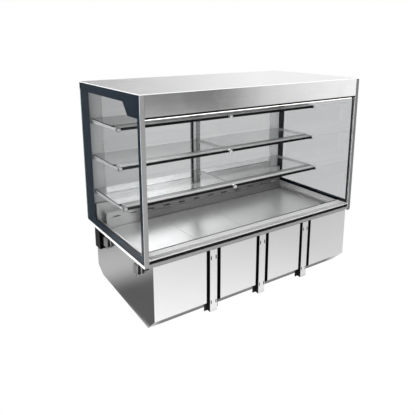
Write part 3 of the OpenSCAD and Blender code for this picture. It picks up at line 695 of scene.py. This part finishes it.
# %% Shelf fittings
LABEL_WIDTH = 0.0215
PRICE_RAIL_SLOPE = 7 / 53    # rise of the price rail's face, which the label band lies along
shelf_fittings = []
for level in ("lower", "middle", "upper"):
    rail_low, rail_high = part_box(level + "_shelf_rail")
    tube_y, tube_z = rail_low.y + 0.012, rail_low.z + 0.008
    collar = start_rod(level + "_rail_collars", 0.0105, 0.018, (-0.6755, tube_y, tube_z), "X")
    pick_faces(collar, lambda centre, out: abs(out.x) > 0.9)
    bpy.ops.mesh.inset(thickness=0.003, depth=-0.0015)
    soften(0.0012)
    copies(collar, [(1.351, 0, 0)])
    settle(collar, "chrome")
    knob = start_rod(level + "_rail_knob", 0.0108, 0.02, (0, tube_y - 0.009, tube_z), "Y")
    pick_faces(knob, lambda centre, out: out.y < -0.9)
    bpy.ops.mesh.inset(thickness=0.0035, depth=0.0)
    bpy.ops.mesh.extrude_region_move(TRANSFORM_OT_translate={"value": (0, 0.003, 0)})
    soften(0.0015)
    settle(knob, "chrome")
    stop = start_box(level + "_glass_stop", (-0.679, rail_high.y + 0.0002, tube_z + 0.0035),
                     (-0.0015, rail_high.y + 0.0037, rail_high.z + 0.0005))
    soften(0.0008)
    copies(stop, [(0.6805, 0, 0)])
    settle(stop, "rubber")
    sleeve = start_rod(level + "_rail_sleeves", 0.0068, 0.65, (-0.3385, tube_y, tube_z), "X", 16)
    pick_faces(sleeve, lambda centre, out: abs(out.x) > 0.9)
    bpy.ops.mesh.inset(thickness=0.0012, depth=0.0)
    bpy.ops.mesh.bridge_edge_loops()
    bpy.ops.object.mode_set(mode="OBJECT")
    copies(sleeve, [(0.677, 0, 0)])
    settle(sleeve, "rubber")
    label = start_box(level + "_label_bands", (-0.664, tube_y + 0.0085, tube_z + 0.0064),
                      (-0.0012, tube_y + 0.030, tube_z + 0.0076))
    pick_faces(label, lambda centre, out: out.y > 0.9)
    bpy.ops.transform.translate(value=(0, 0, LABEL_WIDTH * PRICE_RAIL_SLOPE))
    soften(0.0003, 1)
    copies(label, [(0.6652, 0, 0)])
    settle(label, "label")
    rail_middle = (-0.6882, (tube_y + 0.283) / 2, tube_z + 0.006)
    side_rail = start_rod(level + "_side_rails", 0.0027, 0.275 - tube_y, rail_middle, "Y", 12)
    soften(0.0008, 1)
    copies(side_rail, [(1.3764, 0, 0)])
    settle(side_rail, "folded edge")
    shelf_fittings += [collar.name, knob.name, stop.name, sleeve.name, label.name, side_rail.name]
upright_low, upright_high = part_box("centre_upright")
cover = start_box("upright_cover", (upright_low.x + 0.0004, upright_low.y - 0.0012, upright_low.z + 0.004),
                  (-0.0125, upright_low.y - 0.0001, upright_high.z - 0.004))
pick_faces(cover, lambda centre, out: out.y < -0.9)
bpy.ops.mesh.inset(thickness=0.0012, depth=0.0003)
bpy.ops.object.mode_set(mode="OBJECT")
settle(cover, "column")
print("shelf fittings:", ", ".join(shelf_fittings))

# %% [markdown]
# ## Sliding doors
# Each pane is held in its frame by a black glazing gasket on both faces, and the slot of the finger
# pull has a moulded rim. Both ride with their door.

# %% Door gaskets and pulls
stile = 0.030
for side in ("left", "right"):
    frame_low, frame_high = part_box(side + "_door_frame")
    pane_low, pane_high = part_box(side + "_door_glass")
    body = side + "_door"
    edges = [(pane_low.y - 0.0026, pane_low.y - 0.0001), (pane_high.y + 0.0001, pane_high.y + 0.0026)]
    for face, (near, far) in zip(("front", "rear"), edges):
        low = (frame_low.x + stile + 0.0002, near, frame_low.z + stile + 0.0002)
        high = (frame_high.x - stile - 0.0002, far, frame_high.z - stile - 0.0002)
        gasket = start_frame(f"{side}_door_{face}_gasket", low, high, 0.005)
        soften(0.0007, 1)
        settle(gasket, "rubber", body)
    pull_x = frame_low.x + 0.010 if side == "left" else frame_high.x - 0.018
    rim = start_frame(side + "_door_pull_rim", (pull_x - 0.004, frame_high.y + 0.0001, 0.376),
                      (pull_x + 0.012, frame_high.y + 0.0014, 0.524), 0.0042)
    soften(0.0004, 1)
    settle(rim, "plastic", body)
door_extras = [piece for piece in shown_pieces() if "_door_" in piece.name and piece.name not in nodes]
print("door pieces:", len(door_extras))

# %% [markdown]
# ## Under the deck and at the back
# When a deck panel is lifted out, the fans show, so each has a wire guard: rings and cross wires,
# welded and plated. Screws hold the roof's fold and the control box. The thermostat has a plate with
# plain marks, and the heater a pilot lamp.

# %% Fan guards
def fan_guard(name, centre):
    """Three wire rings and two cross wires in front of a fan."""
    bpy.ops.object.select_all(action="DESELECT")
    flat = (math.pi / 2, 0, 0)
    bpy.ops.mesh.primitive_torus_add(location=centre, rotation=flat, major_radius=0.094,
                                     minor_radius=0.0016, major_segments=40, minor_segments=8)
    guard = named(name)
    bpy.ops.object.mode_set(mode="EDIT")
    for radius in (0.062, 0.032):
        bpy.ops.mesh.primitive_torus_add(location=centre, rotation=flat, major_radius=radius,
                                         minor_radius=0.0012, major_segments=32, minor_segments=6)
    wire_at = (centre[0], centre[1] - 0.0022, centre[2])
    for turn in ((0, math.pi / 2, 0), (0, 0, 0)):
        bpy.ops.mesh.primitive_cylinder_add(vertices=8, radius=0.0014, depth=0.19, location=wire_at,
                                            rotation=turn)
    bpy.ops.object.mode_set(mode="OBJECT")
    return settle(guard, "chrome")


fan_x, fan_z = 0.3265, -0.150
guard_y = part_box("fan_plate")[0].y - 0.0018
for side, x in (("left", -fan_x), ("right", fan_x)):
    print("guard:", fan_guard(side + "_fan_guard", (x, guard_y, fan_z)).name)

# %% Screws
def screw_heads(name, first, steps, axis, finish="chrome"):
    """A row of pan-head screws: one is shaped, with its recess, and the rest are copies."""
    toward = {"Y": (0, 1, 0), "X": (-1, 0, 0)}[axis]
    head = start_rod(name, 0.0042, 0.0022, first, axis, 12)
    pick_faces(head, lambda centre, out: out.dot(Vector(toward)) > 0.9)
    bpy.ops.mesh.inset(thickness=0.0022, depth=0.0)
    inward = tuple(-0.0012 * part for part in toward)
    bpy.ops.mesh.extrude_region_move(TRANSFORM_OT_translate={"value": inward})
    soften(0.0005, 1)
    copies(head, steps)
    return settle(head, finish)


roof_rear_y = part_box("canopy_roof")[1].y
roof_steps = [(0.22 * i, 0, 0) for i in range(1, 7)]
screw_heads("roof_screws", (-0.66, roof_rear_y + 0.0011, 0.785), roof_steps, "Y")
lid_y = 0.386                          # the control box's face
box_steps = [(0.284, 0, 0), (0, 0, 0.124), (0.284, 0, 0.124)]
screw_heads("control_box_screws", (0.188, lid_y + 0.0012, -0.182), box_steps, "Y")
print(len(roof_steps) + 1, "roof screws and", len(box_steps) + 1, "control box screws")

# %% Thermostat plate and pilot lamp
control_z = -0.120
dial_at = (0.250, lid_y + 0.0002, control_z)
dial = start_rod("dial_plate", 0.030, 0.0012, dial_at, "Y", 40)
pick_faces(dial, lambda centre, out: out.y > 0.9)
bpy.ops.mesh.inset(thickness=0.002, depth=0.0003)
bpy.ops.object.mode_set(mode="OBJECT")
settle(dial, "price strip")
mark = start_box("dial_marks", (dial_at[0] - 0.0005, dial_at[1] + 0.0008, dial_at[2] + 0.022),
                 (dial_at[0] + 0.0005, dial_at[1] + 0.0013, dial_at[2] + 0.027))
soften(0.0001, 1)
for index in range(1, 11):
    bpy.ops.object.mode_set(mode="EDIT")
    if index == 1:
        bpy.ops.mesh.select_all(action="SELECT")
    bpy.ops.mesh.duplicate()
    bpy.ops.transform.rotate(value=math.radians(30), orient_axis="Y", center_override=dial_at)
bpy.ops.object.mode_set(mode="OBJECT")
settle(mark, "rubber")
lamp = start_rod("pilot_lamp", 0.006, 0.006, (0.310, lid_y + 0.0032, control_z), "Y", 24)
pick_faces(lamp, lambda centre, out: out.y > 0.9)
bpy.ops.mesh.inset(thickness=0.0015, depth=0.0018)
soften(0.0007)
settle(lamp, "pilot lens")

# %% [markdown]
# ## The camera
# It stands in front of the case and to its left, above the canopy, and looks a little down. The
# lens is shifted as well, so the uprights lean less than a stronger tilt would make them.

# %% Camera
camera_data = bpy.data.cameras.new("camera")
camera_data.lens = 41.361
camera_data.sensor_width = 36.0
camera_data.shift_y = -0.14
camera = bpy.data.objects.new("camera", camera_data)
camera.location = (-1.6116, -2.1852, 1.0571)
camera.rotation_euler = (math.radians(90 - 13.519), 0, math.radians(-34.363))
bpy.context.scene.collection.objects.link(camera)
bpy.context.scene.camera = camera
print("camera", round(camera_data.lens, 1), "mm")

# %% [markdown]
# ## What the steel sees
# Polished metal shows what stands round it, so the studio is the finish's other half. The eye, and
# whatever looks through the glass, meets plain white. Reflected rays meet a soft set: a light table
# behind, brighter on one side, a dark flag on the left, and in front a dark flag that ends in a
# bright card. Light that has been scattered comes more strongly from the left. No real room lights
# each kind of ray differently: the set is arranged for the picture, so what it shows of a finish is
# not a measurement. Direction is turned into two numbers, the bearing from straight back or straight
# ahead, in degrees, and the height, and each part of the set is a stretch of those two.

# %% World
world = bpy.data.worlds.new("studio")
bpy.context.scene.world = world
world.use_nodes = True
sky = world.node_tree
sky.nodes.clear()
ray = put(sky, "LightPath").outputs
way = put(sky, "SeparateXYZ", {"Vector": put(sky, "TexCoord").outputs["Generated"]}).outputs
away = calc(sky, "ABSOLUTE", way["Y"])
bearing = calc(sky, "DEGREES", calc(sky, "ARCTAN2", way["X"], away))


def mix_levels(tree, factor, a, b):
    """Level a where the factor is 0, level b where it is 1."""
    return put(tree, "Mix", {"Factor": factor, "A": a, "B": b}).outputs["Result"]


low_card = remap(sky, bearing, 18.0, 40.0, 0.42, 0.95)
bright_end = remap(sky, bearing, 28.0, 38.5, 4.0, 0.0)
high_card = calc(sky, "ADD", bright_end, remap(sky, bearing, 38.5, 46.0, 1.15, 0.6))
back = mix_levels(sky, remap(sky, way["Z"], 0.22, 0.36, smooth=True), low_card, high_card)
left_flag = remap(sky, way["Z"], 0.02, 0.12, 0.12, 0.9, smooth=True)
flag = mix_levels(sky, remap(sky, bearing, -14.0, 6.0, smooth=True), left_flag, back)
front_flag = remap(sky, bearing, 26.0, 36.0, 0.31, 0.15)
front_card = remap(sky, bearing, 36.0, 41.0, 0.0, 0.72, smooth=True)
front_card = calc(sky, "ADD", front_card, remap(sky, bearing, 41.0, 52.0, 0.0, 0.42))
front = calc(sky, "ADD", front_flag, front_card)
front = mix_levels(sky, remap(sky, way["Z"], 0.2, 0.32, smooth=True), front, 1.0)
ahead = calc(sky, "LESS_THAN", way["Y"], 0.0)
ring = mix_levels(sky, ahead, flag, front)
level = mix_levels(sky, remap(sky, way["Z"], 0.45, 0.75, smooth=True), ring, 1.0)
reflected = calc(sky, "GREATER_THAN", ray["Glossy Depth"], 0.5)
scattered = calc(sky, "GREATER_THAN", ray["Diffuse Depth"], 0.5)
key = remap(sky, way["X"], 0.2, -0.8, 1.0, 2.4, smooth=True)
strength = mix_levels(sky, reflected, mix_levels(sky, scattered, 1.0, key), level)
glow = put(sky, "Background", {"Color": (1, 1, 1), "Strength": strength})
put(sky, "OutputWorld", {"Surface": glow.outputs[0]})
world.cycles.sampling_method = "NONE"
print("studio sky:", len(sky.nodes), "nodes")

# %% [markdown]
# ## The floor
# A plain pale floor under the case. Like the sky it is even white to the eye, and steel sees it
# brighter in front of the case, dim beside the tank's left end and dim underneath.

# %% Floor
bpy.ops.object.select_all(action="DESELECT")
floor_at = (0, 0, cad_low.z - 0.001)
bpy.ops.mesh.primitive_circle_add(vertices=96, radius=6.5, fill_type="NGON", location=floor_at)
floor = bpy.context.object
floor.name = "floor"
floor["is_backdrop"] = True
floor_finish = bpy.data.materials.new("studio_floor")
floor_finish.use_nodes = True
ground = floor_finish.node_tree
ground.nodes.clear()
spot = put(ground, "SeparateXYZ", {"Vector": place(ground)}).outputs
close_by = remap(ground, spot["Y"], -0.95, -0.45, 0.86, 1.0)
in_front = calc(ground, "MULTIPLY", remap(ground, spot["X"], -0.6, 0.7, 1.16, 0.8), close_by)
rise = remap(ground, spot["Y"], 0.08, 0.4, 0.0, 0.42, smooth=True)
fall = remap(ground, spot["Y"], 0.5, 1.1, 1.0, 0.0, smooth=True)
beside = calc(ground, "ADD", 0.11, calc(ground, "MULTIPLY", rise, fall))
is_left = remap(ground, spot["X"], -0.66, -0.69)
is_back = remap(ground, spot["Y"], -0.5, -0.4)
open_floor = mix_levels(ground, calc(ground, "MULTIPLY", is_left, is_back), in_front, beside)
under_x = remap(ground, calc(ground, "ABSOLUTE", spot["X"]), 0.6, 0.7, 1.0, 0.0)
under_y = remap(ground, calc(ground, "ABSOLUTE", spot["Y"]), 0.3, 0.4, 1.0, 0.0)
shaded = mix_levels(ground, calc(ground, "MULTIPLY", under_x, under_y), open_floor, 0.22)
looked = put(ground, "LightPath").outputs
mirrored = calc(ground, "GREATER_THAN", looked["Glossy Depth"], 0.5)
pale = put(ground, "Emission", {"Color": (1, 1, 1), "Strength": mix_levels(ground, mirrored, 1.0, shaded)})
put(ground, "OutputMaterial", {"Surface": pale.outputs[0]})
floor.data.materials.append(floor_finish)
bpy.context.scene.view_settings.view_transform = "Standard"
print("floor at", round(floor_at[2], 3))

low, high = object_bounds()
print("size", [round(side, 4) for side in high - low])
